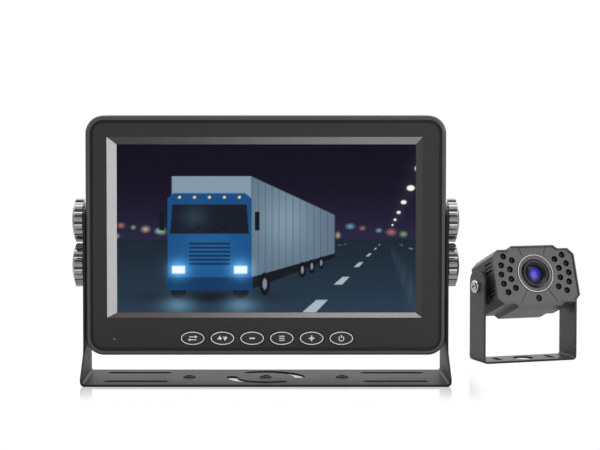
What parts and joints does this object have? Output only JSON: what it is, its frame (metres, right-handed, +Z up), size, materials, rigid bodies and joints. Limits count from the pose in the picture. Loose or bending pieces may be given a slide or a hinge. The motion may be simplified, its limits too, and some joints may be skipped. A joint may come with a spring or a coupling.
{
  "type": "backup camera kit",
  "caption": "Wide dashboard display with oval buttons, tilting in a folded steel bracket with fluted clamp knobs, and a small infrared camera that tilts in its own bracket.",
  "frame": {"origin": "middle of the monitor bracket's underside, on the axis of its middle screw hole", "axes": "+Z up, the screen faces -Y, +X to the right as the driver sees the screen"},
  "size_m": [0.3536, 0.1528, 0.1764],
  "materials": {
    "bracket_paint": "satin powder coat",
    "bezel_plastic": "satin",
    "case_plastic": "fine texture",
    "brass": "machined brass",
    "black_rubber": "matte",
    "foam": "matte foam",
    "display": "glass under a glossy polariser",
    "steel": "brushed",
    "tray_plastic": "moulded white light guide frame",
    "circuit_board": "solder mask",
    "chip_plastic": "moulded",
    "screw_steel": "nickel plated",
    "flex_film": "polyimide film",
    "black_screw": "black oxide",
    "camera_bracket_paint": "satin powder coat",
    "camera_paint": "satin powder coat",
    "camera_plate_paint": "satin",
    "chrome": "polished",
    "barrel_black": "semi-gloss",
    "lens_coating": "violet anti-reflection coating",
    "led_resin": "dark clear resin",
    "button_rubber": "satin",
    "knob_chrome": "polished plating",
    "washer_black": "satin"
  },
  "bodies": {
    "dash_bracket": {"monitor_bracket": "bracket_paint"},
    "monitor": {"front_bezel": "bezel_plastic", "rear_cover": "case_plastic", "side_inserts": "brass", "arm_pads": "black_rubber", "display_gasket": "foam", "display_cell": "display", "backlight_tray": "tray_plastic", "display_clamps": "steel", "main_board": "circuit_board", "board_parts": "chip_plastic", "internal_screws": "screw_steel", "display_flex": "flex_film", "key_board": "circuit_board", "key_switches": "chip_plastic", "microphone": "steel", "speaker": "chip_plastic", "case_screws": "black_screw", "cable_grommet": "black_rubber"},
    "washer_lower_left": {"knob_washer_lower_left": "washer_black"},
    "knob_lower_left": {"knob_lower_left": "knob_chrome", "knob_stud_lower_left": "screw_steel"},
    "washer_upper_left": {"knob_washer_upper_left": "washer_black"},
    "knob_upper_left": {"knob_upper_left": "knob_chrome", "knob_stud_upper_left": "screw_steel"},
    "washer_lower_right": {"knob_washer_lower_right": "washer_black"},
    "knob_lower_right": {"knob_lower_right": "knob_chrome", "knob_stud_lower_right": "screw_steel"},
    "washer_upper_right": {"knob_washer_upper_right": "washer_black"},
    "knob_upper_right": {"knob_upper_right": "knob_chrome", "knob_stud_upper_right": "screw_steel"},
    "mode_button": {"button_mode": "button_rubber"},
    "channel_button": {"button_channel": "button_rubber"},
    "down_button": {"button_down": "button_rubber"},
    "menu_button": {"button_menu": "button_rubber"},
    "up_button": {"button_up": "button_rubber"},
    "power_button": {"button_power": "button_rubber"},
    "camera_base": {"camera_bracket": "camera_bracket_paint"},
    "camera_head": {"camera_shell": "camera_paint", "camera_plate": "camera_plate_paint", "front_seal": "foam", "rear_seal": "foam", "camera_rear_cover": "camera_paint", "camera_case_screws": "black_screw", "camera_gland": "black_rubber", "lens_ring": "chrome", "lens_bezel": "chrome", "lens_barrel": "barrel_black", "lens_glass": "lens_coating", "rear_lens": "lens_coating", "lens_holder": "barrel_black", "led_board": "circuit_board", "infrared_leds": "led_resin", "light_sensor": "led_resin", "sensor_board": "circuit_board", "image_sensor": "chip_plastic", "board_spacers": "brass", "pivot_screws": "screw_steel", "pivot_washers": "black_rubber"}
  },
  "joints": [
    {"name": "monitor_tilt", "type": "hinge", "parent": "dash_bracket", "child": "monitor", "pos_m": [0, 0.011, 0.0758], "axis": [1, 0, 0], "range_deg": [-15, 15]},
    {"name": "knob_lower_left_travel", "type": "slide", "parent": "monitor", "child": "washer_lower_left", "axis": [-1, 0, 0], "range_m": [0, 0.0016]},
    {"name": "knob_lower_left_turn", "type": "hinge", "parent": "washer_lower_left", "child": "knob_lower_left", "pos_m": [-0.1247, 0.011, 0.0758], "axis": [-1, 0, 0], "range_deg": [0, 720]},
    {"name": "knob_upper_left_travel", "type": "slide", "parent": "monitor", "child": "washer_upper_left", "axis": [-1, 0, 0], "range_m": [0, 0.0016]},
    {"name": "knob_upper_left_turn", "type": "hinge", "parent": "washer_upper_left", "child": "knob_upper_left", "pos_m": [-0.1247, 0.011, 0.1059], "axis": [-1, 0, 0], "range_deg": [0, 720]},
    {"name": "knob_lower_right_travel", "type": "slide", "parent": "monitor", "child": "washer_lower_right", "axis": [1, 0, 0], "range_m": [0, 0.0016]},
    {"name": "knob_lower_right_turn", "type": "hinge", "parent": "washer_lower_right", "child": "knob_lower_right", "pos_m": [0.1247, 0.011, 0.0758], "axis": [1, 0, 0], "range_deg": [0, 720]},
    {"name": "knob_upper_right_travel", "type": "slide", "parent": "monitor", "child": "washer_upper_right", "axis": [1, 0, 0], "range_m": [0, 0.0016]},
    {"name": "knob_upper_right_turn", "type": "hinge", "parent": "washer_upper_right", "child": "knob_upper_right", "pos_m": [0.1247, 0.011, 0.1059], "axis": [1, 0, 0], "range_deg": [0, 720]},
    {"name": "mode_press", "type": "slide", "parent": "monitor", "child": "mode_button", "axis": [0, 1, 0], "range_m": [0, 0.0005], "stiffness_N_per_m": 600},
    {"name": "channel_press", "type": "slide", "parent": "monitor", "child": "channel_button", "axis": [0, 1, 0], "range_m": [0, 0.0005], "stiffness_N_per_m": 600},
    {"name": "down_press", "type": "slide", "parent": "monitor", "child": "down_button", "axis": [0, 1, 0], "range_m": [0, 0.0005], "stiffness_N_per_m": 600},
    {"name": "menu_press", "type": "slide", "parent": "monitor", "child": "menu_button", "axis": [0, 1, 0], "range_m": [0, 0.0005], "stiffness_N_per_m": 600},
    {"name": "up_press", "type": "slide", "parent": "monitor", "child": "up_button", "axis": [0, 1, 0], "range_m": [0, 0.0005], "stiffness_N_per_m": 600},
    {"name": "power_press", "type": "slide", "parent": "monitor", "child": "power_button", "axis": [0, 1, 0], "range_m": [0, 0.0005], "stiffness_N_per_m": 600},
    {"name": "camera_lift", "type": "slide", "parent": "dash_bracket", "child": "camera_base", "axis": [0, 0, 1], "range_m": [0, 0.15]},
    {"name": "camera_tilt", "type": "hinge", "parent": "camera_base", "child": "camera_head", "pos_m": [0.185, 0.09, 0.054], "axis": [0.9511, 0.309, 0], "range_deg": [-25, 65]}
  ],
  "couplings": [
    {"joint": "knob_lower_left_turn", "follows": "knob_lower_left_travel", "rad_per_m": 7853.9},
    {"joint": "knob_upper_left_turn", "follows": "knob_upper_left_travel", "rad_per_m": 7853.9},
    {"joint": "knob_lower_right_turn", "follows": "knob_lower_right_travel", "rad_per_m": 7853.9},
    {"joint": "knob_upper_right_turn", "follows": "knob_upper_right_travel", "rad_per_m": 7853.9}
  ]
}
